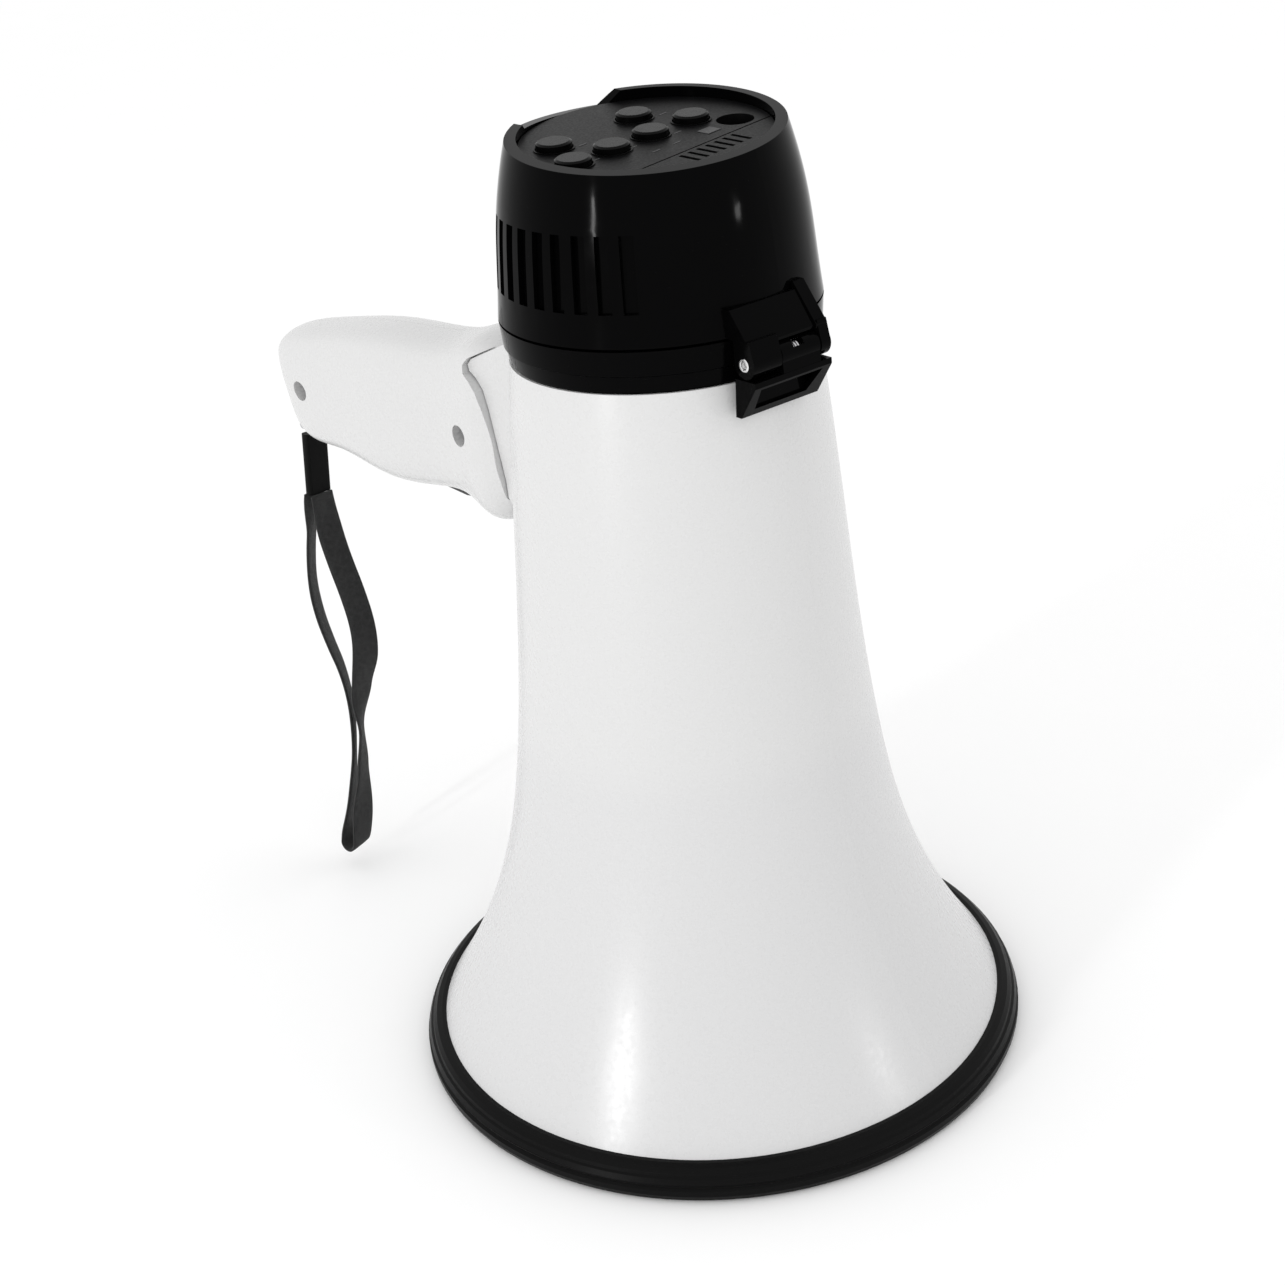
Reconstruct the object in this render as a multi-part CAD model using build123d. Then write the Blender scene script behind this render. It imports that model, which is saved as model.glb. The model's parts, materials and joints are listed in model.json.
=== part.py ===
from build123d import *
import os
from math import acos, cos, radians, sin, tan

# Handheld megaphone, standing on its bell. Millimetres, +Z from the bell to the control panel, -X to the handle,
# origin on the horn's axis in the plane that the bell stands on.

# Horn and bell
WALL = 2.6
BELL_R = 105.0
COLLAR_Z = 246.4
SPIGOT_TOP = 256.0
SPIGOT_R = 45.3
HORN_OUTER = [(102.0, 5.5), (98.0, 11.0), (79.0, 44.5), (67.2, 78.0), (60.6, 112.0), (55.0, 162.0), (50.9, 213.0),
              (47.7, COLLAR_Z)]

# Driver and reflex horn
LEDGE_Z = 194.0
DECK_TOP = 197.0
SCREW_R_DECK = 46.8
COVER_SCREW_R = 39.4
TUBE_MOUTH_Z = 122.0
REFLECTOR_R = 39.0
REFLECTOR_TOP = 138.0
SPIDER_Z = 124.0

# Batteries
CELL_R = 13.0
CELL_OFFSET = 13.9
CELL_Z = 235.6
BOX_R = 36.6
BOX_SCREW_R = 40.8

# Rear housing: seam plane, hinge on the handle side, latch on the other side
SEAM_Z = 260.0
HOUSING_OUTER = [(49.4, 260.4), (47.9, 276.0), (46.3, 291.0), (43.4, 305.5), (39.4, 319.0)]
HOUSING_WALL = 2.3
HINGE_X = -53.0
HINGE_R = 3.0
HINGE_PIN_R = 1.25
FLUTE_Z = (270.0, 292.0)
FLUTE_COUNT = 29
FLUTE_FIRST = 55.0
FLUTE_STEP = 8.929

# Control panel, tilted down toward +X -Y
PANEL_Z = 309.9
PANEL_TILT = 5.0
PANEL_R = 37.7
PANEL_THICK = 2.0
RIM_Z = 312.4
RIM_TILT = 6.1
TILT_AXIS = (1, 1, 0)
BUTTONS = [(-14.7, -23.2), (1.6, -31.4), (2.0, -16.2), (2.4, -0.4), (-14.0, 9.6), (2.8, 16.6)]
BUTTON_R = 5.4
BUTTON_RISE = 3.6
DOME_R = 9.5
SKIRT_R = 6.3
JACK = (14.1, 23.5)
JACK_BORE = 1.8
SLOT_X = (23.2, 30.8)
SLOT_Y = 0.5
SLOT_PITCH = 3.65
SLOT_COUNT = 7
BOARD_DROP = 9.0
POST_R = 40.2

# Latch, built facing +X and then turned about Z
LATCH_TURN = -7.0
LATCH_X = 54.5
LATCH_Z = 254.0
LATCH_PIN_R = 2.0
POCKET_BACK = 51.9
LUG_R = 4.2
KNUCKLE_R = 4.0
LATCH_HALF = 14.8
KNUCKLE_Y = (-3.7, 10.8)
LEVER_TOP = 249.3
LEVER_BOTTOM = 237.6

# Handle, its bracket and its fold pivot
FOLD_X = -59.5
FOLD_Z = 188.5
FOLD_PIN_R = 2.0
# Bracket screws, driven from inside the horn: seat x, y, z
BRACKET_SCREWS = [(-48.0, -7.5, 202.0), (-48.0, 7.5, 202.0), (-45.2, -7.5, 230.0), (-45.2, 7.5, 230.0)]
CHEEK_IN = 12.8
CHEEK_OUT = 15.4
TONGUE_HALF = 12.4
GRIP_WALL = 2.6
GRIP_SCREWS = [(-86.0, 205.0), (-176.5, 205.0)]
# Stations along the handle: x, crown z, shoulder z, belly z, half thickness, lean of the station toward the tip
GRIP_STATIONS = [(-57.0, 240.0, 234.0, 186.0, 14.8, 0.0), (-92.0, 237.0, 230.8, 178.2, 15.0, 0.0),
                 (-122.0, 235.0, 229.0, 176.6, 15.0, 0.02), (-152.0, 232.0, 226.6, 179.0, 15.0, 0.06),
                 (-176.0, 227.8, 222.4, 181.2, 14.6, 0.13), (-188.0, 223.8, 218.4, 182.6, 12.6, 0.16),
                 (-193.6, 217.4, 213.0, 189.8, 7.2, 0.18)]
TRIGGER_PIVOT = (-110.0, 186.0)
PLUNGER_Z = 187.3
STRAP_PIN = (-187.0, 188.0)
STRAP_PIN_R = 1.5

# Wrist strap: the webbing's route from the sleeve, down, round and back
SLEEVE_TOP = (-189.5, -2.6, 183.0)
SLEEVE_END = (-191.0, -4.2, 158.5)
STRAP_R = 1.7
BEND_SHARE = 0.45
STRAP_ROUTE = [(-193.2, -4.4, 158.2), (-198.4, -4.4, 144.8), (-202.6, -4.6, 131.0), (-203.4, -6.0, 117.5),
               (-198.4, -8.6, 106.5), (-191.8, -10.2, 96.0), (-185.6, -10.8, 85.6), (-182.6, -11.4, 73.0),
               (-181.8, -13.2, 57.0), (-184.0, -15.0, 41.0), (-185.2, -17.2, 28.0), (-188.7, -18.6, 18.0),
               (-189.0, -19.4, 11.1), (-186.5, -19.9, 8.6), (-182.9, -19.9, 8.6), (-180.4, -19.4, 11.1),
               (-179.6, -18.4, 18.0), (-178.6, -17.0, 28.6), (-176.9, -15.6, 41.6), (-177.2, -13.0, 57.0),
               (-177.4, -11.0, 73.0), (-173.6, -10.2, 85.6), (-169.6, -9.6, 96.6), (-170.2, -8.4, 108.0),
               (-176.4, -6.4, 119.6), (-183.6, -5.0, 131.6), (-188.0, -4.6, 145.0), (-188.8, -4.4, 158.2)]


def disc(x, y, z, radius, height):
    """Upright cylinder standing on z."""
    return Pos(x, y, z + height / 2) * Cylinder(radius, height)


def tube(radius_out, radius_in, z0, z1):
    """Upright ring about the horn's axis."""
    return disc(0, 0, z0, radius_out, z1 - z0) - disc(0, 0, z0, radius_in, z1 - z0)


def rod(start, direction, radius, length):
    """Cylinder from a point along a direction."""
    return extrude(Plane(origin=start, z_dir=direction) * Circle(radius), length)


def block(x0, x1, y0, y1, z0, z1):
    """Box between two corners."""
    return Pos((x0 + x1) / 2, (y0 + y1) / 2, (z0 + z1) / 2) * Box(abs(x1 - x0), abs(y1 - y0), abs(z1 - z0))


def side_plate(corners, y0, y1):
    """Plate between y0 and y1 with an outline of (x, z) corners."""
    outline = Polyline(*[(x, y0, z) for x, z in corners], close=True)
    return extrude(make_face(outline), y1 - y0, dir=(0, 1, 0))


def turned(*corners):
    """Solid of revolution about Z from (radius, z) corners."""
    outline = Polyline(*[(r, 0, z) for r, z in corners], close=True)
    return revolve(make_face(outline), Axis.Z)


def turned_between(outer, inner):
    """Solid of revolution between two smooth (radius, z) curves with the same end heights."""
    curve_out = Spline(*[(r, 0, z) for r, z in outer])
    curve_in = Spline(*[(r, 0, z) for r, z in inner])
    foot = Line(curve_in @ 0, curve_out @ 0)
    head = Line(curve_out @ 1, curve_in @ 1)
    return revolve(make_face([foot, curve_out, head, curve_in]), Axis.Z)


def turned_solid(outer):
    """Full solid of revolution under one smooth (radius, z) curve."""
    curve = Spline(*[(r, 0, z) for r, z in outer])
    low, high = outer[0][1], outer[-1][1]
    sides = Polyline((outer[-1][0], 0, high), (0, 0, high), (0, 0, low), (outer[0][0], 0, low))
    return revolve(make_face([curve, sides]), Axis.Z)


def around(count, radius, start=45.0):
    """Centres spread evenly on a circle."""
    for i in range(count):
        angle = radians(start + 360.0 * i / count)
        yield radius * cos(angle), radius * sin(angle)


def screw(x, y, seat, length, shank=1.3, head=2.6, rise=1.8):
    """Upright pan-head screw with its head above the seat and a cross recess."""
    body = disc(x, y, seat - length, shank, length) + disc(x, y, seat, head, rise)
    recess = block(x - 1.5, x + 1.5, y - 0.3, y + 0.3, seat + rise - 0.8, seat + rise + 1)
    recess += block(x - 0.3, x + 0.3, y - 1.5, y + 1.5, seat + rise - 0.8, seat + rise + 1)
    return body - recess


def bores(places, radius, z0, z1):
    """Upright holes at the given places."""
    return Compound(children=[disc(x, y, z0, radius, z1 - z0) for x, y in places])


def tilt(shape, height=PANEL_Z, angle=PANEL_TILT):
    """Lean a shape built level at the given height onto the panel's slope."""
    return shape.rotate(Axis((0, 0, height), TILT_AXIS), angle)


def latch_turn(shape):
    """Turn a latch part from facing +X to its place round the housing."""
    return shape.rotate(Axis.Z, LATCH_TURN)


# Root body: horn, driver, batteries and brackets

def horn_bore():
    inner = [(r - WALL, z) for r, z in HORN_OUTER]
    return turned_solid(inner)


def horn_shell():
    inner = [(r - WALL, z) for r, z in HORN_OUTER[:-1]] + [(HORN_OUTER[-1][0] - WALL, COLLAR_Z)]
    shell = turned_between(HORN_OUTER, inner)
    shell += turned((42.9, 242.0), (46.2, 242.0), (46.2, COLLAR_Z), (SPIGOT_R, COLLAR_Z), (SPIGOT_R, SPIGOT_TOP),
                    (42.9, SPIGOT_TOP))
    shell += turned((45.6, 190.0), (50.6, 186.0), (50.6, LEDGE_Z), (45.6, LEDGE_Z))
    for x, y in around(4, SCREW_R_DECK, 0):
        shell += disc(x, y, 183.0, 3.0, LEDGE_Z - 183.0)
    for x, y in around(4, BOX_SCREW_R):
        shell += disc(x, y, 246.0, 3.0, SPIGOT_TOP - 246.0)
    shell -= bores(around(4, SCREW_R_DECK, 0), 1.4, 184.0, LEDGE_Z)
    shell -= bores(around(4, BOX_SCREW_R), 1.3, 247.0, SPIGOT_TOP)
    for seat, y, z in BRACKET_SCREWS:
        shell -= rod((seat + 2.0, y, z), (-1, 0, 0), 1.5, 12.0)
    return shell


def bell_rim(horn):
    trim = turned((97.6, 0), (102.6, 0), (104.3, 0.8), (BELL_R, 2.6), (BELL_R, 4.6), (104.2, 5.2), (104.2, 6.0),
                  (104.5, 6.5), (103.7, 8.3), (102.9, 8.7), (102.5, 9.8), (101.3, 11.0), (99.4, 11.5), (96.8, 11.2),
                  (92.6, 10.6), (92.0, 9.2), (95.6, 2.2))
    return trim - horn


def collar_ring():
    ring = turned((SPIGOT_R + 0.05, COLLAR_Z), (46.8, COLLAR_Z), (47.4, 247.2), (48.2, 251.8), (48.8, 252.2),
                  (49.4, SEAM_Z - 0.4), (SPIGOT_R + 0.05, SEAM_Z - 0.4))
    ring += latch_turn(block(47.0, 50.2, -4.0, 4.0, 249.7, 251.5))
    knuckle = rod((HINGE_X, -7, SEAM_Z), (0, 1, 0), HINGE_R, 14)
    knuckle += block(HINGE_X, -47.5, -7, 7, SEAM_Z - 3.0, SEAM_Z - 0.4)
    knuckle -= disc(0, 0, 250, SPIGOT_R + 0.05, 20)
    ring += knuckle
    return ring - rod((HINGE_X, -20, SEAM_Z), (0, 1, 0), HINGE_PIN_R, 40)


def hinge_pin():
    return rod((HINGE_X, -15, SEAM_Z), (0, 1, 0), HINGE_PIN_R, 30)


def bulkhead():
    deck = tube(49.2, 10.0, LEDGE_Z, DECK_TOP)
    deck -= bores(around(4, SCREW_R_DECK, 0), 1.4, LEDGE_Z, DECK_TOP)
    return deck - bores(around(4, COVER_SCREW_R), 1.3, LEDGE_Z, DECK_TOP)


def bulkhead_screws():
    return [screw(x, y, DECK_TOP, 12.5, shank=1.4, head=2.3) for x, y in around(4, SCREW_R_DECK, 0)]


def tone_tube():
    return turned((10.0, LEDGE_Z), (30.0, LEDGE_Z), (30.0, 191.6), (12.5, 191.6), (25.2, TUBE_MOUTH_Z),
                  (23.0, TUBE_MOUTH_Z))


def reflector():
    outer = Polyline((REFLECTOR_R, 0, REFLECTOR_TOP), (REFLECTOR_R, 0, 116.0))
    bowl = Spline((REFLECTOR_R, 0, 116.0), (33.4, 0, 91.0), (19.0, 0, 76.5), (0, 0, 72.0),
                  tangents=((0, 0, -1), (-1, 0, 0)))
    floor = Line((0, 0, 72.0), (0, 0, 74.2))
    inside = Spline((0, 0, 74.2), (17.9, 0, 78.4), (31.5, 0, 92.0), (36.8, 0, 116.0),
                    tangents=((1, 0, 0), (0, 0, 1)))
    wall = Polyline((36.8, 0, 116.0), (36.8, 0, REFLECTOR_TOP), (REFLECTOR_R, 0, REFLECTOR_TOP))
    return revolve(make_face([outer, bowl, floor, inside, wall]), Axis.Z)


def reflector_spider():
    spider = tube(REFLECTOR_R + 2.4, REFLECTOR_R, SPIDER_Z, SPIDER_Z + 10)
    for i in range(3):
        vane = block(REFLECTOR_R + 1, 70, -1.3, 1.3, SPIDER_Z, SPIDER_Z + 10)
        spider += vane.rotate(Axis.Z, 60 + 120 * i) & horn_bore()
    return spider


def driver_head():
    return turned((10.0, DECK_TOP), (34.4, DECK_TOP), (34.4, 206.0), (30.0, 206.0), (30.0, 203.0), (19.0, 203.0),
                  (15.5, 200.4), (10.6, 200.4))


def diaphragm():
    return turned((0, 206.4), (8.0, 205.6), (12.6, 203.7), (29.8, 203.7), (29.8, 203.05), (12.2, 203.05),
                  (7.6, 205.0), (0, 205.8))


def voice_coil():
    return tube(13.3, 12.5, 203.75, 211.0)


def top_plate():
    return tube(33.0, 14.0, 206.05, 210.0)


def magnet():
    return tube(31.5, 16.0, 210.0, 220.0)


def yoke():
    return turned((0, 207.2), (11.8, 207.2), (11.8, 220.0), (29.5, 220.0), (29.5, 224.0), (0, 224.0))


def driver_cover():
    can = turned((34.6, DECK_TOP), (42.0, DECK_TOP), (42.0, 199.6), (36.6, 199.6), (36.6, 229.0), (0, 229.0),
                 (0, 227.0), (34.6, 227.0))
    can -= bores(around(4, COVER_SCREW_R), 1.3, DECK_TOP, 199.6)
    for y in (-4.0, 4.0):
        can -= rod((30.0, y, 216.0), (1, 0, 0), 1.0, 10)
    return can


def driver_screws():
    return [screw(x, y, 199.6, 5.4) for x, y in around(4, COVER_SCREW_R)]


def battery_box():
    box = tube(BOX_R, BOX_R - 2.2, 232.0, 257.0)
    box += disc(0, 0, 232.0, BOX_R, 2.0)
    box += tube(44.6, BOX_R - 1, SPIGOT_TOP, SPIGOT_TOP + 2.4)
    box += block(-0.7, 0.7, -35.0, 35.0, 233.0, 256.0) + block(-35.0, 35.0, -0.7, 0.7, 233.0, 256.0)
    box -= bores(around(4, BOX_SCREW_R), 1.3, SPIGOT_TOP, SPIGOT_TOP + 3)
    for y in (-4.0, 4.0):
        box -= disc(40.0, y, SPIGOT_TOP - 1, 1.0, 5)
    return box


def battery_box_screws():
    return [screw(x, y, SPIGOT_TOP + 2.4, 11.0) for x, y in around(4, BOX_SCREW_R)]


def cell_places():
    return [(sx * CELL_OFFSET, sy * CELL_OFFSET) for sx in (-1, 1) for sy in (-1, 1)]


def battery_cells():
    cells = []
    for x, y in cell_places():
        cells.append(disc(x, y, CELL_Z, CELL_R, 48.6) + disc(x, y, CELL_Z + 48.6, 3.2, 1.4))
    return cells


def battery_contacts():
    contacts = []
    for x, y in cell_places():
        contacts.append(disc(x, y, 234.0, 7.0, 0.5) + disc(x, y, 234.5, 4.0, 1.0))
    return contacts


def driver_leads():
    leads = []
    for y in (-4.0, 4.0):
        run = FilletPolyline((33.2, y, 216.0), (39.9, y, 216.0), (39.9, y, 262.0), radius=3.0)
        leads.append(sweep(Plane(origin=run @ 0, z_dir=run % 0) * Circle(0.8), path=run))
    return leads


def bracket_outline():
    """Cheek outline from the horn, over the top lobe and down the slanted edge to the pivot lug."""
    return [(-40.0, 243.6), (-56.0, 242.0), (-74.6, 233.9), (-76.6, 231.8), (-76.2, 229.6), (-73.2, 227.4),
            (-70.6, 224.0), (-68.9, 218.0), (-64.5, 193.0), (-64.2, 187.0), (-62.0, 184.2), (-59.0, 183.5),
            (-40.0, 183.5)]


def handle_bracket():
    body = side_plate(bracket_outline(), -CHEEK_OUT, CHEEK_OUT)
    pocket = side_plate([(-90, 250), (-52.4, 250), (-54.2, 197.0), (-54.2, 176), (-90, 176)], -CHEEK_IN, CHEEK_IN)
    body -= pocket
    body -= turned_solid(HORN_OUTER)
    body = max(body.solids(), key=lambda s: s.volume)
    body -= rod((FOLD_X, -20, FOLD_Z), (0, 1, 0), FOLD_PIN_R, 40)
    for seat, y, z in BRACKET_SCREWS:
        body -= rod((seat, y, z), (-1, 0, 0), 1.5, 20.0)
    return body


def bracket_screws():
    screws = []
    for seat, y, z in BRACKET_SCREWS:
        shank = rod((seat + 0.5, y, z), (-1, 0, 0), 1.5, 53.6 + seat)
        screws.append(shank + rod((seat, y, z), (1, 0, 0), 2.6, 1.7))
    return screws


def fold_pin():
    return rod((FOLD_X, -CHEEK_OUT, FOLD_Z), (0, 1, 0), FOLD_PIN_R, 2 * CHEEK_OUT)


# Handle body

def grip_section(station, inset):
    """Closed section wire at one station, drawn in by the inset."""
    x, crown, shoulder, belly, half, lean = station
    crown, shoulder, belly, half = crown - inset, shoulder - inset, belly + inset, half - inset
    corners = [(0, crown), (0.55 * half, crown - 0.22 * (crown - shoulder)), (0.9 * half, shoulder + 1.2),
               (half, shoulder - 2.6), (half, 0.5 * (shoulder + belly)), (0.97 * half, belly + 11.0),
               (0.72 * half, belly + 3.2), (0, belly)]
    ring = corners + [(-y, z) for y, z in corners[-2:0:-1]]
    return Spline(*[(x + lean * (210.0 - z), y, z) for y, z in ring], periodic=True)


def grip_form(inset=0.0):
    """Handle outside (inset 0) or its cavity."""
    stations = GRIP_STATIONS if inset == 0 else GRIP_STATIONS[:-1]
    return Solid.make_loft([Wire([grip_section(s, inset)]) for s in stations])


def grip_cutters():
    """Spaces that the handle leaves for the bracket's cheeks and base, the trigger and the strap."""
    cheek = [(-40.0, 250.0), (-56.0, 250.0), (-56.2, 242.6), (-74.8, 234.4), (-77.1, 232.0), (-76.7, 229.2),
             (-73.6, 227.0), (-71.0, 223.8), (-69.3, 217.9), (-64.9, 193.0), (-64.7, 186.8), (-62.4, 183.7),
             (-61.0, 176.0), (-40.0, 176.0)]
    near = side_plate(cheek, -20.0, -TONGUE_HALF)
    far = side_plate(cheek, TONGUE_HALF, 20.0)
    root = side_plate([(-40, 255), (-58.0, 255), (-58.0, 193.6), (FOLD_X, 193.6), (FOLD_X, 170), (-40, 170)],
                      -CHEEK_IN, CHEEK_IN)
    root -= rod((FOLD_X, -20, FOLD_Z), (0, 1, 0), 4.8, 40)
    slot = block(-113.5, -83.0, -6.4, 6.4, 170.0, 190.5)
    strap = block(-192.5, -183.4, -6.6, 6.6, 170.0, 192.0)
    return [near, far, root, slot, strap]


def grip_half(side):
    """One hollow half of the handle, side +1 for y > 0 and -1 for y < 0."""
    keep = block(-230, -40, 0.05 * side, 30 * side, 160, 260)
    half = (grip_form() & keep) - grip_form(GRIP_WALL)
    knuckle = rod((FOLD_X, 0.05 * side, FOLD_Z), (0, side, 0), 4.8, TONGUE_HALF - 0.05)
    half += knuckle
    for x, z in GRIP_SCREWS:
        half += rod((x, 0.05 * side, z), (0, side, 0), 5.4 if side < 0 else 4.0, 13.4)
    post_x, post_z = STRAP_PIN
    half += rod((post_x, 0.05 * side, post_z), (0, side, 0), 3.2, 20.0) & grip_form()
    half += rod((TRIGGER_PIVOT[0], 6.4 * side, TRIGGER_PIVOT[1]), (0, side, 0), 3.4, 20.0) & grip_form()
    for cutter in grip_cutters():
        half -= cutter
    for x, z in GRIP_SCREWS:
        if side < 0:
            half -= rod((x, -6.0, z), (0, -1, 0), 3.8, 20)
            half -= rod((x, 1.0, z), (0, -1, 0), 1.7, 12)
        else:
            half -= rod((x, 0, z), (0, 1, 0), 1.4, 10.0)
    half -= rod((FOLD_X, -20, FOLD_Z), (0, 1, 0), FOLD_PIN_R + 0.05, 40)
    half -= rod((TRIGGER_PIVOT[0], -9.0, TRIGGER_PIVOT[1]), (0, 1, 0), 1.2, 18)
    half -= rod((post_x, -9.0, post_z), (0, 1, 0), STRAP_PIN_R, 18)
    return max(half.solids(), key=lambda s: s.volume)


def grip_screws():
    screws = []
    for x, z in GRIP_SCREWS:
        body = rod((x, -6.0, z), (0, 1, 0), 1.4, 15.0) + rod((x, -7.8, z), (0, 1, 0), 3.2, 1.8)
        body -= block(x - 1.8, x + 1.8, -8.5, -7.0, z - 0.35, z + 0.35)
        screws.append(body - block(x - 0.35, x + 0.35, -8.5, -7.0, z - 1.8, z + 1.8))
    return screws


def trigger():
    x, z = TRIGGER_PIVOT
    lever = side_plate([(-112.4, 184.0), (-112.6, 181.6), (-108.0, 178.6), (-98.0, 177.4), (-88.0, 178.6),
                        (-84.4, 180.8), (-84.4, 183.6), (-88.0, 184.6), (-106.0, 184.6)], -5.9, 5.9)
    lever += rod((x, -5.9, z), (0, 1, 0), 3.0, 11.8)
    return lever - rod((x, -10, z), (0, 1, 0), 1.25, 20)


def trigger_pin():
    return rod((TRIGGER_PIVOT[0], -9.0, TRIGGER_PIVOT[1]), (0, 1, 0), 1.2, 18)


def coil(radius, wire, pitch, height, base, axis):
    """Round-wire helical spring."""
    path = Helix(pitch, height, radius, center=(0, 0, 0), direction=(0, 0, 1))
    spring = sweep(Plane(origin=path @ 0, z_dir=path % 0) * Circle(wire), path=path)
    return Plane(origin=base, z_dir=axis).location * spring


def trigger_spring():
    return coil(2.2, 0.3, 1.5, 5.4, (-102.0, 0, 185.2), (0, 0, 1))


def trigger_switch():
    body = block(-97.5, -84.5, -3.2, 3.2, 190.0, 196.6)
    body += block(-95.0, -87.0, -0.3, 0.3, 196.6, 199.0)
    return body + block(-89.5, -87.5, -1.0, 1.0, PLUNGER_Z, 190.0)


def switch_carrier():
    """Rib frame that holds the trigger switch and the spring's seat between the handle's halves."""
    frame = block(-106.0, -82.0, -11.4, 11.4, 191.0, 196.0) - block(-97.5, -84.5, -3.2, 3.2, 180.0, 210.0)
    return frame


def strap_pin():
    return rod((STRAP_PIN[0], -9.0, STRAP_PIN[1]), (0, 1, 0), STRAP_PIN_R, 18)


def strap_sleeve():
    top, end = Vector(*SLEEVE_TOP), Vector(*SLEEVE_END)
    run = (end - top).normalized()
    plane = Plane(origin=top, x_dir=(0, 1, 0), z_dir=run)
    return extrude(plane * RectangleRounded(10.4, 3.6, 1.4), (end - top).length)


def bend_radii(route):
    """Radius at each inner corner, so that its arc takes up a fixed share of the shorter run beside it."""
    radii = []
    for a, b, c in zip(route, route[1:], route[2:]):
        before, after = Vector(*b) - Vector(*a), Vector(*c) - Vector(*b)
        turn = acos(before.normalized().dot(after.normalized()))
        radii.append(BEND_SHARE * min(before.length, after.length) / tan(turn / 2))
    return radii


def wrist_strap():
    radii = bend_radii(STRAP_ROUTE)
    print("strap bend radii, mm:", [round(radius, 1) for radius in radii])
    bend = FilletPolyline(*STRAP_ROUTE, radius=radii)
    print("strap length, mm:", round(bend.length, 1))
    return sweep(Plane(origin=bend @ 0, z_dir=bend % 0) * Circle(STRAP_R), path=bend)


# Rear housing body

def housing_cavity():
    inner = [(r - HOUSING_WALL, z) for r, z in HOUSING_OUTER[:-1]] + [(37.6, 319.0)]
    return turned_solid(inner)


def rim_cutter():
    """Everything above the slanted rim, and the low gap in the hood beside the handle."""
    above = tilt(block(-80, 80, -80, 80, RIM_Z, RIM_Z + 60), RIM_Z, RIM_TILT)
    gap = extrude(Plane(origin=(-60, 0, 0), x_dir=(0, 1, 0), z_dir=(1, 0, 0)) * make_face(
        Polyline((-16.5, 312.3), (17.5, 312.3), (29.5, 324.3), (-28.5, 324.3), close=True)), 30)
    return above, gap


def flutes():
    """Upright finger flutes round the handle side; those beside the hood's gap run up to the rim."""
    low, high = FLUTE_Z
    slope = 6.1
    cuts = []
    for i in range(FLUTE_COUNT):
        angle = FLUTE_FIRST + FLUTE_STEP * i
        top = 330.0 if abs(angle - 180) < 22 else high
        cut = block(-1.0, 6.0, -2.1, 2.1, 0, top - low)
        cut = Pos(47.5, 0, low) * Rot(0, -slope, 0) * cut
        cuts.append(cut.rotate(Axis.Z, angle))
    return cuts


def latch_wedge():
    """Latch bracket moulded on the housing: sloping plate, right cheek rib and two lugs."""
    wedge = side_plate([(40, 269.0), (49.4, 269.0), (56.6, 259.6), (56.4, 258.7), (52.0, SEAM_Z + 0.4),
                        (40, SEAM_Z + 0.4)], -LATCH_HALF, LATCH_HALF)
    rib = side_plate([(40, 271.0), (48.4, 271.0), (57.4, 259.8), (57.2, 258.6), (50.3, 258.6), (50.3, 262.0),
                      (40, 262.0)], KNUCKLE_Y[1] - 0.2, LATCH_HALF)
    wedge += rib
    for y0, y1 in ((-LATCH_HALF, KNUCKLE_Y[0] - 0.4), (KNUCKLE_Y[1] + 0.4, LATCH_HALF)):
        lug = rod((LATCH_X, y0, LATCH_Z), (0, 1, 0), LUG_R, y1 - y0)
        lug += side_plate([(50.3, LATCH_Z), (50.3, 261.0), (57.0, 261.0), (58.7, LATCH_Z)], y0, y1)
        wedge += lug
    wedge -= rod((LATCH_X, KNUCKLE_Y[0] - 0.4, LATCH_Z), (0, 1, 0), KNUCKLE_R + 0.4,
                 KNUCKLE_Y[1] - KNUCKLE_Y[0] + 0.8)
    return latch_turn(wedge - rod((LATCH_X, -20, LATCH_Z), (0, 1, 0), LATCH_PIN_R, 40))


def rear_housing():
    shell = turned_solid(HOUSING_OUTER)
    above, gap = rim_cutter()
    shell -= above
    shell -= gap
    for cut in flutes():
        shell -= cut
    shell += latch_wedge()
    for y0, y1 in ((-15.0, -7.4), (7.4, 15.0)):
        shell += rod((HINGE_X, y0, SEAM_Z), (0, 1, 0), HINGE_R, y1 - y0)
        shell += block(HINGE_X, -45.0, y0, y1, SEAM_Z + 0.4, SEAM_Z + 3.0)
    shell -= rod((HINGE_X, -20, SEAM_Z), (0, 1, 0), HINGE_PIN_R + 0.05, 40)
    shell -= disc(0, 0, 255.0, 47.0, 5.5)
    shell -= housing_cavity() & tilt(block(-80, 80, -80, 80, 200.0, PANEL_Z - 6.0))
    for x, y in around(3, POST_R, 30):
        shell += disc(x, y, 290.0, 3.4, 14.0)
    shell -= tilt(disc(0, 0, PANEL_Z - PANEL_THICK, PANEL_R + 0.3, 30.0))
    shell -= tilt(disc(0, 0, PANEL_Z - 14.0, 35.6, 14.0))
    for x, y in BUTTONS:
        shell -= tilt(disc(x, y, PANEL_Z - 7.0, SKIRT_R + 0.5, 6.0))
    for x, y in around(3, POST_R, 30):
        shell -= disc(x, y, 285.0, 1.3, 11.4)
    for x, y in panel_screw_places():
        shell -= tilt(disc(x, y, PANEL_Z - 6.5, 1.25, 5.0))
    return shell


def panel_screw_places():
    return list(around(3, 36.4, 82))


def slot_places():
    for i in range(SLOT_COUNT):
        yield SLOT_Y + SLOT_PITCH * (i - (SLOT_COUNT - 1) / 2)


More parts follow.
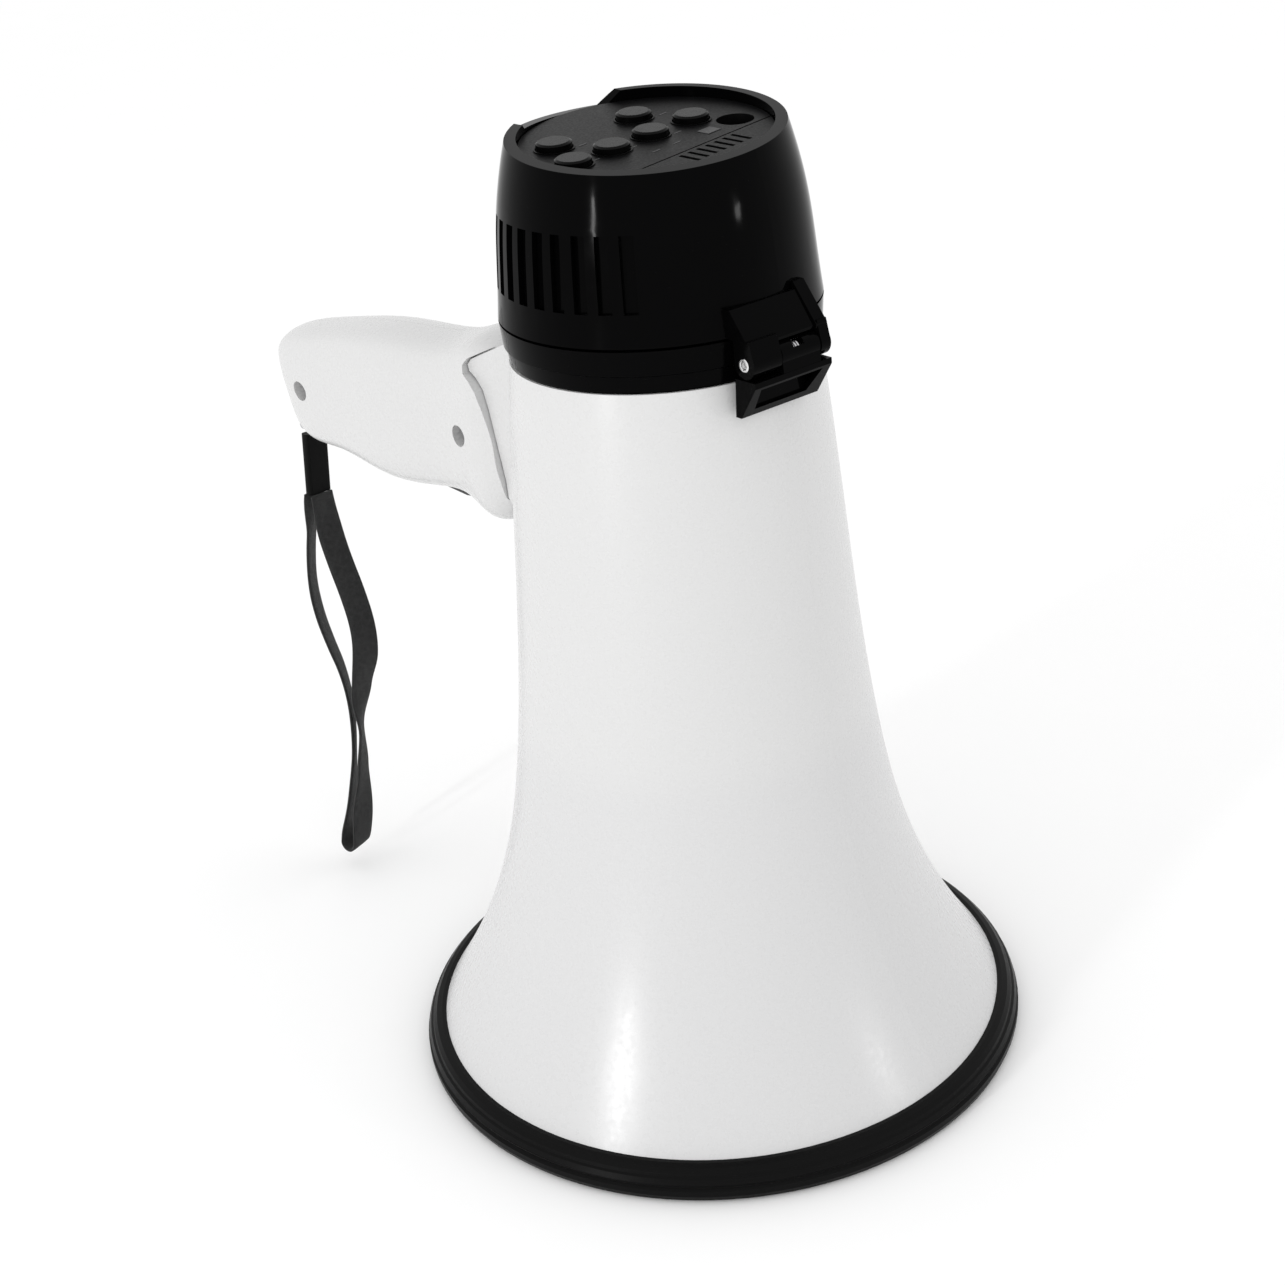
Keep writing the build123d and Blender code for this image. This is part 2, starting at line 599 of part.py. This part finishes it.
def control_panel():
    panel = disc(0, 0, PANEL_Z - PANEL_THICK, PANEL_R, PANEL_THICK)
    panel -= block(21.3, 21.9, -40, 40, PANEL_Z - 0.35, PANEL_Z + 1)
    for x, y in BUTTONS:
        panel += disc(x, y, PANEL_Z, BUTTON_R + 0.8, 0.35)
    for x, y in BUTTONS:
        panel -= disc(x, y, PANEL_Z - 5, BUTTON_R + 0.35, 10)
    for y in slot_places():
        panel -= block(SLOT_X[0], SLOT_X[1], y - 0.75, y + 0.75, PANEL_Z - 5, PANEL_Z + 5)
    panel += disc(JACK[0], JACK[1], PANEL_Z - 5.0, 6.5, 5.0)
    panel -= disc(JACK[0], JACK[1], PANEL_Z - 4.0, 5.7, 10.0)
    panel -= disc(JACK[0], JACK[1], PANEL_Z - 8.0, 3.9, 10.0)
    panel -= block(12.2, 17.0, 8.6, 14.2, PANEL_Z - 0.3, PANEL_Z + 1)
    for x, y in panel_screw_places():
        panel -= disc(x, y, PANEL_Z - PANEL_THICK - 1, 1.25, 2.4)
    return tilt(panel)


def legend_plate():
    return tilt(block(12.3, 16.9, 8.7, 14.1, PANEL_Z - 0.3, PANEL_Z + 0.15))


def panel_screws():
    screws = []
    for x, y in panel_screw_places():
        shank = disc(x, y, PANEL_Z - 6.0, 1.25, 5.2)
        screws.append(tilt(shank + disc(x, y, PANEL_Z - 7.6, 2.1, 1.6)))
    return screws


def button(x, y):
    """Domed push button with a skirt and a stem down to its switch."""
    cap = disc(x, y, PANEL_Z - 1.8, BUTTON_R, BUTTON_RISE + 0.6)
    dome = Pos(x, y, PANEL_Z + BUTTON_RISE - DOME_R) * Sphere(DOME_R)
    cap = cap & dome
    cap += disc(x, y, PANEL_Z - 3.4, SKIRT_R, 1.0) + disc(x, y, PANEL_Z - 3.2, BUTTON_R, 1.6)
    return tilt(cap + disc(x, y, PANEL_Z - 5.0, 1.6, 2.0))


def circuit_board():
    top = PANEL_Z - BOARD_DROP
    board = disc(0, 0, top - 1.6, 33.8, 1.6)
    board -= disc(JACK[0], JACK[1], top - 3, 3.1, 6)
    return tilt(board)


def board_components():
    low = PANEL_Z - BOARD_DROP - 1.6
    parts = [block(-24, -12, -4, 4, low - 2.2, low), block(-6, 6, -20, -8, low - 1.4, low)]
    parts += [disc(16, -14, low - 6.0, 3.2, 6.0), disc(24, -8, low - 6.0, 3.2, 6.0)]
    parts += [block(-20, -8, 14, 22, low - 4.0, low), block(4, 8, 8, 10, low - 0.8, low)]
    return [tilt(p) for p in parts]


def tact_switches():
    top = PANEL_Z - BOARD_DROP
    return [tilt(block(x - 3, x + 3, y - 3, y + 3, top, top + 2.6)) for x, y in BUTTONS]


def microphone():
    return tilt(disc(26.5, SLOT_Y, PANEL_Z - 7.6, 4.8, 4.6))


def mic_boot():
    boot = disc(26.5, SLOT_Y, PANEL_Z - BOARD_DROP, 6.2, 6.6) - disc(26.5, SLOT_Y, PANEL_Z - 7.6, 4.8, 6.0)
    return tilt(boot)


def aux_jack():
    top = PANEL_Z - 5.0
    body = disc(JACK[0], JACK[1], top - 3.8, 5.4, 3.8) + disc(JACK[0], JACK[1], top - 12.0, 3.0, 9.0)
    body += disc(JACK[0], JACK[1], top, 3.6, 2.0)
    return tilt(body - disc(JACK[0], JACK[1], top - 11.0, JACK_BORE, 14.0))


def contact_plate():
    plate = disc(0, 0, 288.4, 42.6, 1.6)
    for x, y in cell_places():
        plate += disc(x, y, 286.3, 4.0, 2.2)
    for x, y in around(3, POST_R, 30):
        plate -= disc(x, y, 280.0, 1.3, 20.0)
    return plate


def contact_plate_screws():
    screws = []
    for x, y in around(3, POST_R, 30):
        screws.append(disc(x, y, 288.4, 1.3, 7.6) + disc(x, y, 286.8, 2.2, 1.6))
    return screws


def latch_pin():
    return latch_turn(rod((LATCH_X, -LATCH_HALF - 0.4, LATCH_Z), (0, 1, 0), LATCH_PIN_R, 2 * LATCH_HALF + 0.4))


def latch_spring():
    return latch_turn(coil(2.75, 0.35, 1.0, 3.0, (LATCH_X, 1.6, LATCH_Z), (0, 1, 0)))


# Latch body

def latch_lever():
    low, high = KNUCKLE_Y
    lever = rod((LATCH_X, low, LATCH_Z), (0, 1, 0), KNUCKLE_R, high - low)
    lever += side_plate([(54.0, LEVER_TOP), (54.0, 252.0), (58.2, 252.6), (58.5, LEVER_TOP)], low, high)
    outer = [(50.2, LEVER_TOP), (58.6, LEVER_TOP), (58.6, 247.6), (51.8, LEVER_BOTTOM), (49.4, LEVER_BOTTOM)]
    shell = side_plate(outer, -LATCH_HALF, LATCH_HALF)
    hollow = side_plate([(POCKET_BACK, 247.5), (56.2, 247.5), (56.2, 247.0), (POCKET_BACK, 240.8)],
                        -LATCH_HALF + 1.8, LATCH_HALF - 1.8)
    lever += shell - hollow
    window = Polyline((-11.0, 239.8), (9.0, 239.8), (11.6, 246.8), (-12.2, 246.8), close=True)
    lever -= extrude(Plane(origin=(POCKET_BACK, 0, 0), x_dir=(0, 1, 0), z_dir=(1, 0, 0)) * make_face(window), 16)
    lever -= block(50.8, 58.0, 1.0, 5.2, LATCH_Z - 3.2, LATCH_Z + 5.0)
    lever -= block(40.0, 50.5, -6.0, 6.0, 240.0, LEVER_TOP + 1)
    return latch_turn(lever - rod((LATCH_X, -20, LATCH_Z), (0, 1, 0), LATCH_PIN_R + 0.04, 40))


def save(name, shape):
    """Write one node, from one solid or a list of solids."""
    if isinstance(shape, list):
        shape = Compound(children=[s.solid() for s in shape])
    export_step(shape, f"parts/{name}.step")


def main():
    os.makedirs("parts", exist_ok=True)
    horn = horn_shell()
    save("horn_shell", horn)
    save("bell_rim", bell_rim(horn))
    for make in (collar_ring, hinge_pin, bulkhead, bulkhead_screws, tone_tube, reflector, reflector_spider,
                 driver_head, diaphragm, voice_coil, top_plate, magnet, yoke, driver_cover, driver_screws,
                 battery_box, battery_box_screws, battery_cells, battery_contacts, driver_leads, handle_bracket,
                 bracket_screws, fold_pin, grip_screws, trigger, trigger_pin, trigger_spring, trigger_switch,
                 switch_carrier, strap_pin, strap_sleeve, wrist_strap, rear_housing, control_panel, legend_plate,
                 panel_screws, circuit_board, board_components, tact_switches, microphone, mic_boot, aux_jack,
                 contact_plate, contact_plate_screws, latch_pin, latch_spring, latch_lever):
        save(make.__name__, make())
    save("grip_left", grip_half(1))
    save("grip_right", grip_half(-1))
    for number, (x, y) in enumerate(BUTTONS, 1):
        save(f"button_{number}", button(x, y))


main()
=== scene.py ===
import json
import math
import bmesh
import bpy
from mathutils import Matrix, Vector


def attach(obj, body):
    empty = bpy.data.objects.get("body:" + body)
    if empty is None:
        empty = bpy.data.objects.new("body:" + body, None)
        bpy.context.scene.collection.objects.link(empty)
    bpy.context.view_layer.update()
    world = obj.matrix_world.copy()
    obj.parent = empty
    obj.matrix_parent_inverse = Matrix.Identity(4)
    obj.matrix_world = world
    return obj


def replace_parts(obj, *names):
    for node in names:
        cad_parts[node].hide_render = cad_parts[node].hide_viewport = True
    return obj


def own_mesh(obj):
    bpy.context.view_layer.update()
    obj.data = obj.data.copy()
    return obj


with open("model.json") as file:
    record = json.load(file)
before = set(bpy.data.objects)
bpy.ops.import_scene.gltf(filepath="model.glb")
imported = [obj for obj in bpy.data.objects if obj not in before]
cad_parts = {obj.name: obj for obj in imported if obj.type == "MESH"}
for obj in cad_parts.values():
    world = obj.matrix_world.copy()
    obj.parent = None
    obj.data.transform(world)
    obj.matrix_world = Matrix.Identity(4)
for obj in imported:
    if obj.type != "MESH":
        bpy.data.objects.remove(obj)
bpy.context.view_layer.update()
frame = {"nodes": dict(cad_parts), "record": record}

nodes = frame["nodes"]

MM = 0.001


# ---------------------------------------------------------------- materials

def new_material(name):
    """An empty node material with one Principled shader."""
    material = bpy.data.materials.new(name)
    material.use_nodes = True
    tree = material.node_tree
    tree.nodes.clear()
    output = tree.nodes.new("ShaderNodeOutputMaterial")
    shader = tree.nodes.new("ShaderNodeBsdfPrincipled")
    tree.links.new(shader.outputs["BSDF"], output.inputs["Surface"])
    return material, tree, shader


def noise(tree, scale, detail=2.0, stretch=(1, 1, 1)):
    """Noise in the part's own coordinates, in metres."""
    coords = tree.nodes.new("ShaderNodeTexCoord")
    mapping = tree.nodes.new("ShaderNodeMapping")
    mapping.inputs["Scale"].default_value = stretch
    texture = tree.nodes.new("ShaderNodeTexNoise")
    texture.inputs["Scale"].default_value = scale
    texture.inputs["Detail"].default_value = detail
    tree.links.new(coords.outputs["Object"], mapping.inputs["Vector"])
    tree.links.new(mapping.outputs["Vector"], texture.inputs["Vector"])
    return texture.outputs["Fac"]


def spread(tree, value, low, high):
    """Map a 0.3 to 0.7 noise value to a range."""
    remap = tree.nodes.new("ShaderNodeMapRange")
    remap.inputs["From Min"].default_value = 0.3
    remap.inputs["From Max"].default_value = 0.7
    remap.inputs["To Min"].default_value = low
    remap.inputs["To Max"].default_value = high
    tree.links.new(value, remap.inputs["Value"])
    return remap.outputs["Result"]


def two_tone(tree, factor, first, second):
    """Colour between two values."""
    mix = tree.nodes.new("ShaderNodeMix")
    mix.data_type = "RGBA"
    mix.inputs["A"].default_value = (*first, 1)
    mix.inputs["B"].default_value = (*second, 1)
    tree.links.new(factor, mix.inputs["Factor"])
    return mix.outputs["Result"]


def raise_grain(tree, shader, height, distance, strength=0.5):
    """Fine relief on the shader's normal."""
    bump = tree.nodes.new("ShaderNodeBump")
    bump.inputs["Distance"].default_value = distance
    bump.inputs["Strength"].default_value = strength
    tree.links.new(height, bump.inputs["Height"])
    tree.links.new(bump.outputs["Normal"], shader.inputs["Normal"])


def moulded(name, colour, rough, grain=900.0, depth=0.00002, tone=0.06, specular=0.5, metallic=0.0,
            stretch=(1, 1, 1)):
    """Moulded, pressed or plated surface: uneven tone, uneven gloss and a fine grain."""
    material, tree, shader = new_material(name)
    shader.inputs["Metallic"].default_value = metallic
    shader.inputs["Specular IOR Level"].default_value = specular
    broad = spread(tree, noise(tree, 14.0, 3.0), 0.0, 1.0)
    darker = tuple(c * (1 - tone) for c in colour)
    tree.links.new(two_tone(tree, broad, darker, colour), shader.inputs["Base Color"])
    fine = noise(tree, grain, 3.0, stretch)
    tree.links.new(spread(tree, fine, rough * 0.85, min(1.0, rough * 1.15)), shader.inputs["Roughness"])
    raise_grain(tree, shader, fine, depth)
    return material


def horn_plastic_with_painted_shade():
    """White ABS with painted shade: a touch darker below the inner reflector's upper edge, where the
    reflector's shade shows through the shell.
    """
    material, tree, shader = new_material("white_shell")
    shader.inputs["Subsurface Weight"].default_value = 0.08
    shader.inputs["Subsurface Radius"].default_value = (0.004, 0.004, 0.004)
    coords = tree.nodes.new("ShaderNodeTexCoord")
    split = tree.nodes.new("ShaderNodeSeparateXYZ")
    # Painted shade: a smooth band in the part's own Z, from 112 to 134 mm, masks the darker colour below it.
    height = tree.nodes.new("ShaderNodeMapRange")
    height.interpolation_type = "SMOOTHSTEP"
    height.inputs["From Min"].default_value = 0.112
    height.inputs["From Max"].default_value = 0.134
    tree.links.new(coords.outputs["Object"], split.inputs["Vector"])
    tree.links.new(split.outputs["Z"], height.inputs["Value"])
    # Painted shade: the darker white below the band stands in for the inner reflector's shade through the
    # shell.
    tree.links.new(two_tone(tree, height.outputs["Result"], (0.600, 0.600, 0.602), (0.618, 0.618, 0.617)),
                   shader.inputs["Base Color"])
    fine = noise(tree, 420.0, 3.0)
    tree.links.new(spread(tree, fine, 0.24, 0.33), shader.inputs["Roughness"])
    raise_grain(tree, shader, fine, 0.000002, 0.06)
    return material


def woven():
    """Nylon webbing: ribs across the band, crossed by fine yarns, on the band's own UVs."""
    material, tree, shader = new_material("webbing")
    shader.inputs["Sheen Weight"].default_value = 0.08
    shader.inputs["Sheen Roughness"].default_value = 0.4
    uv = tree.nodes.new("ShaderNodeUVMap")
    uv.uv_map = "UVMap"
    waves = []
    for axis, scale in (("X", 5.2), ("Y", 34.0)):
        wave = tree.nodes.new("ShaderNodeTexWave")
        wave.bands_direction = axis
        wave.inputs["Scale"].default_value = scale
        wave.inputs["Distortion"].default_value = 0.4
        tree.links.new(uv.outputs["UV"], wave.inputs["Vector"])
        waves.append(wave.outputs["Fac"])
    weave = tree.nodes.new("ShaderNodeMath")
    weave.operation = "MULTIPLY"
    tree.links.new(waves[0], weave.inputs[0])
    tree.links.new(waves[1], weave.inputs[1])
    tree.links.new(two_tone(tree, weave.outputs["Value"], (0.002, 0.002, 0.0022), (0.006, 0.006, 0.0065)),
                   shader.inputs["Base Color"])
    tree.links.new(spread(tree, noise(tree, 600.0), 0.72, 0.92), shader.inputs["Roughness"])
    raise_grain(tree, shader, weave.outputs["Value"], 0.0003, 0.9)
    return material


finishes = {
    "white_shell": horn_plastic_with_painted_shade(),
    "white_inner": moulded("white_inner", (0.74, 0.74, 0.73), 0.5),
    "black_gloss": moulded("black_gloss", (0.0012, 0.0012, 0.0013), 0.09, 260.0, 0.000003, 0.2, 0.028),
    "panel_satin": moulded("panel_satin", (0.0035, 0.0035, 0.0037), 0.4, 1500.0, 0.00003, 0.12, 0.06),
    "trim_rubber": moulded("trim_rubber", (0.003, 0.003, 0.003), 0.34, 700.0, 0.00002, 0.2, 0.07),
    "button_rubber": moulded("button_rubber", (0.002, 0.002, 0.002), 0.25, 800.0, 0.00001, 0.2, 0.06),
    "sleeve_rubber": moulded("sleeve_rubber", (0.003, 0.003, 0.003), 0.5, 800.0, 0.00004, 0.2, 0.07),
    "webbing": woven(),
    "steel": moulded("steel", (0.58, 0.58, 0.59), 0.3, 700.0, 0.00001, 0.1, metallic=1.0, stretch=(1, 1, 6)),
    "pin_bright": moulded("pin_bright", (0.80, 0.80, 0.80), 0.14, 900.0, 0.000004, 0.08, metallic=1.0),
    "zinc": moulded("zinc", (0.52, 0.53, 0.55), 0.38, 500.0, 0.00001, 0.12, metallic=1.0),
    "ferrite": moulded("ferrite", (0.05, 0.05, 0.055), 0.7, 600.0, 0.00005, 0.2),
    "copper": moulded("copper", (0.58, 0.27, 0.13), 0.3, 900.0, 0.00002, 0.15, metallic=1.0,
                      stretch=(1, 1, 8)),
    "diaphragm_film": moulded("diaphragm_film", (0.42, 0.33, 0.20), 0.4),
    "black_inner": moulded("black_inner", (0.025, 0.025, 0.025), 0.5),
    "cell_jacket": moulded("cell_jacket", (0.07, 0.12, 0.20), 0.28),
    "lead_sheath": moulded("lead_sheath", (0.27, 0.03, 0.03), 0.45),
    "board_green": moulded("board_green", (0.02, 0.13, 0.06), 0.35),
    "legend_grey": moulded("legend_grey", (0.022, 0.022, 0.023), 0.5, 1500.0, 0.00002, 0.1),
    "jack_black": moulded("jack_black", (0.012, 0.012, 0.012), 0.3),
    "trigger_plastic": moulded("trigger_plastic", (0.02, 0.02, 0.021), 0.3),
}


def finish_as(obj, slot):
    """Give an object one material and nothing else."""
    obj.data.materials.clear()
    obj.data.materials.append(finishes[slot])


for part in frame["record"]["subparts"]:
    finish_as(nodes[part["node"]], part["material_slot"])


def piece(name, mesh, body, slot):
    """A finished mesh piece that rides on a CAD body."""
    obj = bpy.data.objects.new(name, mesh)
    bpy.context.scene.collection.objects.link(obj)
    finish_as(obj, slot)
    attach(obj, body)
    return obj


# ---------------------------------------------------------------- wrist strap

STRAP_ROUTE = [(-193.2, -4.4, 158.2), (-198.4, -4.4, 144.8), (-202.6, -4.6, 131.0), (-203.4, -6.0, 117.5),
               (-198.4, -8.6, 106.5), (-191.8, -10.2, 96.0), (-185.6, -10.8, 85.6), (-182.6, -11.4, 73.0),
               (-181.8, -13.2, 57.0), (-184.0, -15.0, 41.0), (-185.2, -17.2, 28.0), (-188.7, -18.6, 18.0),
               (-189.0, -19.4, 11.1), (-186.5, -19.9, 8.6), (-182.9, -19.9, 8.6), (-180.4, -19.4, 11.1),
               (-179.6, -18.4, 18.0), (-178.6, -17.0, 28.6), (-176.9, -15.6, 41.6), (-177.2, -13.0, 57.0),
               (-177.4, -11.0, 73.0), (-173.6, -10.2, 85.6), (-169.6, -9.6, 96.6), (-170.2, -8.4, 108.0),
               (-176.4, -6.4, 119.6), (-183.6, -5.0, 131.6), (-188.0, -4.6, 145.0), (-188.8, -4.4, 158.2)]
WEB_HALF = 5.0 * MM
WEB_THICK = 0.62 * MM
# How far the band is turned from the Y axis, by share of its length, in degrees
WEB_TURN = [(0.0, 0), (0.06, -35), (0.25, -45), (0.35, -45), (0.45, -30), (0.5, -15), (0.56, 0), (0.63, -30),
            (0.68, -45), (0.74, 0), (0.80, 35), (0.92, 40), (1.0, 0)]


def route_points():
    """The route's smooth line, as a chain of points."""
    curve = bpy.data.curves.new("strap_route", "CURVE")
    curve.dimensions = "3D"
    curve.resolution_u = 8
    spline = curve.splines.new("NURBS")
    spline.points.add(len(STRAP_ROUTE) - 1)
    for point, place in zip(spline.points, STRAP_ROUTE):
        point.co = (place[0] * MM, place[1] * MM, place[2] * MM, 1)
    spline.order_u = 3
    spline.use_endpoint_u = True
    holder = bpy.data.objects.new("strap_route", curve)
    bpy.context.scene.collection.objects.link(holder)
    bpy.context.view_layer.update()
    line = bpy.data.meshes.new_from_object(holder.evaluated_get(bpy.context.evaluated_depsgraph_get()))
    points = [v.co.copy() for v in line.vertices]
    bpy.data.meshes.remove(line)
    bpy.data.objects.remove(holder)
    return points


def turn_at(share):
    """The band's turn in radians at a share of its length, eased between the listed turns."""
    for (s0, a0), (s1, a1) in zip(WEB_TURN, WEB_TURN[1:]):
        if share <= s1:
            t = (share - s0) / (s1 - s0)
            return math.radians(a0 + (a1 - a0) * t * t * (3 - 2 * t))
    return 0.0


def webbing_mesh(points):
    """A flat woven band with soft edges along the points."""
    section = [(-1.0, 0.0), (-0.96, 0.8), (-0.5, 1.0), (0.0, 1.0), (0.5, 1.0), (0.96, 0.8), (1.0, 0.0),
               (0.96, -0.8), (0.5, -1.0), (0.0, -1.0), (-0.5, -1.0), (-0.96, -0.8)]
    bm = bmesh.new()
    uv_layer = bm.loops.layers.uv.new("UVMap")
    total = sum((b - a).length for a, b in zip(points, points[1:]))
    rings = []
    run = 0.0
    for i, place in enumerate(points):
        if i:
            run += (place - points[i - 1]).length
        along = (points[min(i + 1, len(points) - 1)] - points[max(i - 1, 0)]).normalized()
        angle = turn_at(run / total)
        across = Vector((math.sin(angle), math.cos(angle), 0))
        across = (across - along * across.dot(along)).normalized()
        out = along.cross(across)
        ring = [bm.verts.new(place + across * (u * WEB_HALF) + out * (v * WEB_THICK)) for u, v in section]
        rings.append((run, ring))
    count = len(section)
    for (run_a, ring_a), (run_b, ring_b) in zip(rings, rings[1:]):
        for k in range(count):
            face = bm.faces.new((ring_a[k], ring_a[(k + 1) % count], ring_b[(k + 1) % count], ring_b[k]))
            face.smooth = True
            u0, u1 = section[k][0], section[(k + 1) % count][0]
            for loop, uv in zip(face.loops, ((u0, run_a), (u1, run_a), (u1, run_b), (u0, run_b))):
                loop[uv_layer].uv = (uv[0], uv[1] * 100)
    bm.faces.new(rings[0][1])
    bm.faces.new(list(reversed(rings[-1][1])))
    bmesh.ops.recalc_face_normals(bm, faces=bm.faces)
    mesh = bpy.data.meshes.new("strap_webbing")
    bm.to_mesh(mesh)
    bm.free()
    return mesh


strap_line = route_points()
webbing = piece("strap_webbing", webbing_mesh(strap_line), "handle", "webbing")
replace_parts(webbing, "wrist_strap")
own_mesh(webbing)


# ---------------------------------------------------------------- latch pin with hollow ends

LATCH_TURN = math.radians(-7)
LATCH_AXIS = Vector((54.5, 0, 254.0)) * MM
PIN_PROFILE = [(0.0, -13.2), (1.15, -13.4), (1.25, -15.0), (1.4, -15.2), (1.8, -15.2), (2.0, -15.0),
               (2.0, 14.6), (1.8, 14.8), (1.4, 14.8), (1.25, 14.6), (1.15, 13.4), (0.0, 13.2)]


def lathe(name, profile, steps=48):
    """A mesh turned about the Y axis from (radius, y) pairs in millimetres."""
    bm = bmesh.new()
    rings = []
    for radius, y in profile:
        if radius == 0:
            rings.append([bm.verts.new((0, y * MM, 0))])
            continue
        rings.append([bm.verts.new((radius * MM * math.cos(2 * math.pi * k / steps), y * MM,
                                    radius * MM * math.sin(2 * math.pi * k / steps))) for k in range(steps)])
    for a, b in zip(rings, rings[1:]):
        for k in range(steps):
            corners = [a[k % len(a)], a[(k + 1) % len(a)], b[(k + 1) % len(b)], b[k % len(b)]]
            bm.faces.new(list(dict.fromkeys(corners)))
    bmesh.ops.recalc_face_normals(bm, faces=bm.faces)
    mesh = bpy.data.meshes.new(name)
    bm.to_mesh(mesh)
    bm.free()
    return mesh


pin_mesh = lathe("latch_pin_hollow", PIN_PROFILE)
pin_mesh.transform(Matrix.Rotation(LATCH_TURN, 4, "Z") @ Matrix.Translation(LATCH_AXIS))
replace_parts(piece("latch_pin_hollow", pin_mesh, "rear", "pin_bright"), "latch_pin")


# ---------------------------------------------------------------- trigger spring

coil = piece("trigger_coil", nodes["trigger_spring"].data.copy(), "handle", "steel")
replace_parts(coil, "trigger_spring")
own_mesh(coil)


# ---------------------------------------------------------------- plain marks moulded on the panel

PANEL_Z = 309.9
PANEL_TILT = math.radians(5)
MARK_RADIUS = 0.28
MARK_REACH = 1.3
MARK_SUNK = -0.05
MARK_PROUD = 0.08
MARK_STEPS = 20
MARKS = [(-9.5, 17.5), (7.5, 5.6), (5.5, -11.0), (14.0, -10.3), (14.0, -1.6), (-9.7, -16.4), (4.0, -24.8)]


def marks_mesh():
    """Short plain dashes with rounded ends, standing 0.08 mm out of the panel."""
    bm = bmesh.new()
    for x, y in MARKS:
        rim = []
        for k in range(MARK_STEPS):
            a = 2 * math.pi * k / MARK_STEPS
            reach = MARK_REACH if math.sin(a) > 0 else -MARK_REACH
            rim.append((x + MARK_RADIUS * math.cos(a), y + MARK_RADIUS * math.sin(a) + reach))
        low = [bm.verts.new((px * MM, py * MM, MARK_SUNK * MM)) for px, py in rim]
        top = [bm.verts.new((px * MM, py * MM, MARK_PROUD * MM)) for px, py in rim]
        bm.faces.new(top)
        bm.faces.new(list(reversed(low)))
        for k in range(MARK_STEPS):
            after = (k + 1) % MARK_STEPS
            bm.faces.new((low[k], low[after], top[after], top[k]))
    bmesh.ops.recalc_face_normals(bm, faces=bm.faces)
    mesh = bpy.data.meshes.new("panel_marks")
    bm.to_mesh(mesh)
    bm.free()
    return mesh


marks = marks_mesh()
marks.transform(Matrix.Translation((0, 0, PANEL_Z * MM)) @ Matrix.Rotation(PANEL_TILT, 4, Vector((1, 1, 0))))
piece("panel_marks", marks, "rear", "legend_grey")


# ---------------------------------------------------------------- floor, light and camera

FLOOR_HALF = 40.0
FLOOR_DROP = 0.0002
WORLD_STRENGTH = 1.03
floor_mesh = bpy.data.meshes.new("floor")
floor_corners = [(-FLOOR_HALF, -FLOOR_HALF, 0), (FLOOR_HALF, -FLOOR_HALF, 0), (FLOOR_HALF, FLOOR_HALF, 0),
                 (-FLOOR_HALF, FLOOR_HALF, 0)]
floor_mesh.from_pydata(floor_corners, [], [(0, 1, 2, 3)])
floor = bpy.data.objects.new("floor", floor_mesh)
bpy.context.scene.collection.objects.link(floor)
floor.location.z = -FLOOR_DROP
floor.data.materials.append(moulded("floor_paper", (0.97, 0.97, 0.97), 0.9, 60.0, 0.00002, 0.005, 0.0))

world = bpy.data.worlds.new("studio")
world.use_nodes = True
world.node_tree.nodes["Background"].inputs["Color"].default_value = (1, 1, 1, 1)
world.node_tree.nodes["Background"].inputs["Strength"].default_value = WORLD_STRENGTH
bpy.context.scene.world = world
bpy.context.scene.view_settings.view_transform = "Standard"

LAMP_AIM = Vector((0, 0, 0.19))


def soft_light(name, place, size, power):
    """A rectangular lamp pointed at the middle of the object; power in watts."""
    data = bpy.data.lights.new(name, "AREA")
    data.shape = "RECTANGLE"
    data.size, data.size_y = size
    data.energy = power
    lamp = bpy.data.objects.new(name, data)
    bpy.context.scene.collection.objects.link(lamp)
    lamp.location = place
    lamp.rotation_euler = (LAMP_AIM - Vector(place)).to_track_quat("-Z", "Y").to_euler()


soft_light("key", (0.04, -1.44, 0.38), (0.05, 0.40), 5.0)
soft_light("side", (1.37, 0.43, 0.36), (0.10, 0.08), 0.9)

CAMERA_PLACE = Vector((0.41515, -0.41515, 0.42963))
FORWARD = Vector((-0.65324, 0.61952, -0.43527)).normalized()
ROLL = math.radians(-5.641)
level = FORWARD.cross(Vector((0, 0, 1))).normalized()
upward = level.cross(FORWARD)
right = level * math.cos(ROLL) + upward * math.sin(ROLL)
up = upward * math.cos(ROLL) - level * math.sin(ROLL)
camera_data = bpy.data.cameras.new("camera")
camera_data.sensor_width = 36.0
camera_data.lens = 55.69
camera = bpy.data.objects.new("camera", camera_data)
bpy.context.scene.collection.objects.link(camera)
camera.matrix_world = Matrix.Translation(CAMERA_PLACE) @ Matrix((right, up, -FORWARD)).transposed().to_4x4()
bpy.context.scene.camera = camera
